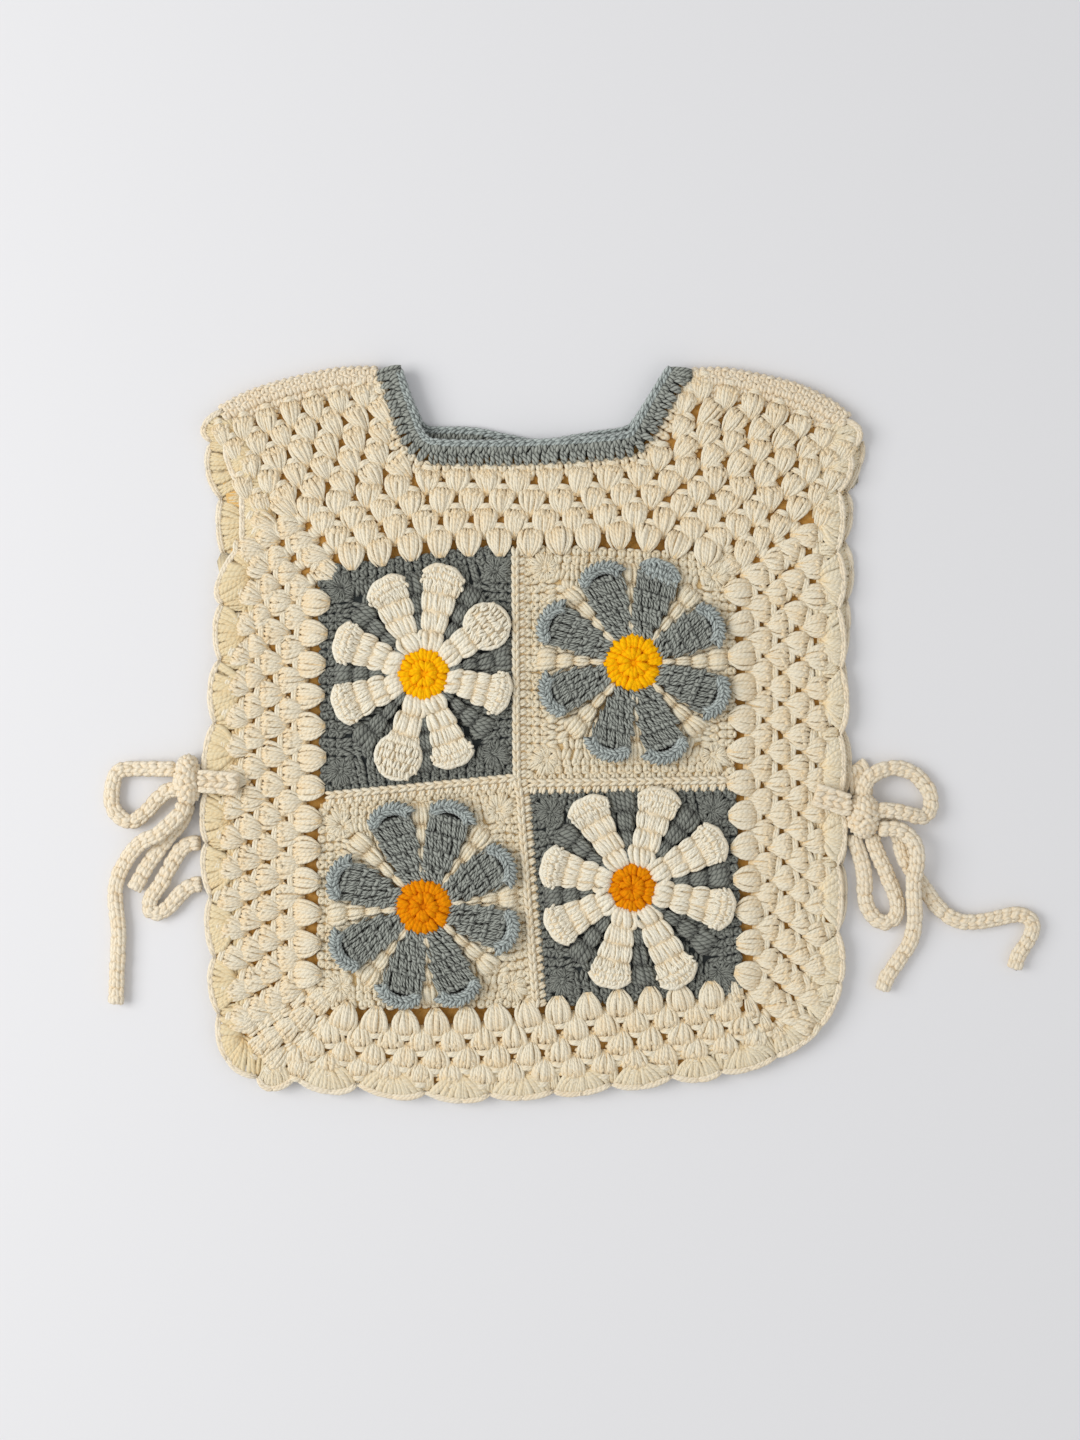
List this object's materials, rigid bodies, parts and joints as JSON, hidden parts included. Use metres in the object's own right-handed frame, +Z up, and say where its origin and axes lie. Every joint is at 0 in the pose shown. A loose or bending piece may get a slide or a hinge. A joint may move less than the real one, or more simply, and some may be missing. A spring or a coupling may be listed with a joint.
{
  "type": "crocheted sweater vest",
  "caption": "Child's crocheted tabard vest laid flat: daisy granny squares, cluster-stitch borders, shell edging, square neckband and side ties in bows.",
  "frame": {"origin": "on the surface that the vest lies on, under the middle of its outline without the ties", "axes": "+X towards the vest's right side as seen in the picture, +Y from the hem towards the neck, +Z up out of the surface"},
  "size_m": [0.4488, 0.3512, 0.0127],
  "materials": {
    "cream_yarn": "matt plied yarn, worked in crochet",
    "slate_yarn": "matt plied yarn, worked in crochet",
    "orange_yarn": "matt plied yarn, worked in crochet",
    "amber_yarn": "matt plied yarn, worked in crochet"
  },
  "bodies": {
    "root": {"back_edging_hem": "cream_yarn", "back_edging_left": "cream_yarn", "back_edging_right": "cream_yarn", "back_neckband": "slate_yarn", "back_panel": "cream_yarn", "back_shoulder_left": "cream_yarn", "back_shoulder_right": "cream_yarn", "daisy_bottom_left": "slate_yarn", "daisy_bottom_right": "cream_yarn", "daisy_top_left": "cream_yarn", "daisy_top_right": "slate_yarn", "front_border_hem": "cream_yarn", "front_border_left": "cream_yarn", "front_border_right": "cream_yarn", "front_edging_hem": "cream_yarn", "front_edging_left": "cream_yarn", "front_edging_right": "cream_yarn", "front_neckband": "slate_yarn", "front_shoulder_left": "cream_yarn", "front_shoulder_right": "cream_yarn", "front_yoke": "cream_yarn", "heart_bottom_left": "amber_yarn", "heart_bottom_right": "amber_yarn", "heart_top_left": "orange_yarn", "heart_top_right": "orange_yarn", "knot_left": "cream_yarn", "knot_right": "cream_yarn", "neckband_fold_left": "slate_yarn", "neckband_fold_right": "slate_yarn", "ridge_left": "cream_yarn", "ridge_right": "cream_yarn", "ridge_upright": "cream_yarn", "shoulder_seam_left": "cream_yarn", "shoulder_seam_right": "cream_yarn", "square_bottom_left": "cream_yarn", "square_bottom_right": "slate_yarn", "square_top_left": "slate_yarn", "square_top_right": "cream_yarn", "tab_left_front": "cream_yarn", "tab_right_back": "cream_yarn", "tab_right_front": "cream_yarn", "tie_left_end_back": "cream_yarn", "tie_left_end_front": "cream_yarn", "tie_left_loop_back": "cream_yarn", "tie_left_loop_front": "cream_yarn", "tie_right_end_back": "cream_yarn", "tie_right_end_front": "cream_yarn", "tie_right_loop_back": "cream_yarn", "tie_right_loop_front": "cream_yarn"}
  },
  "joints": []
}
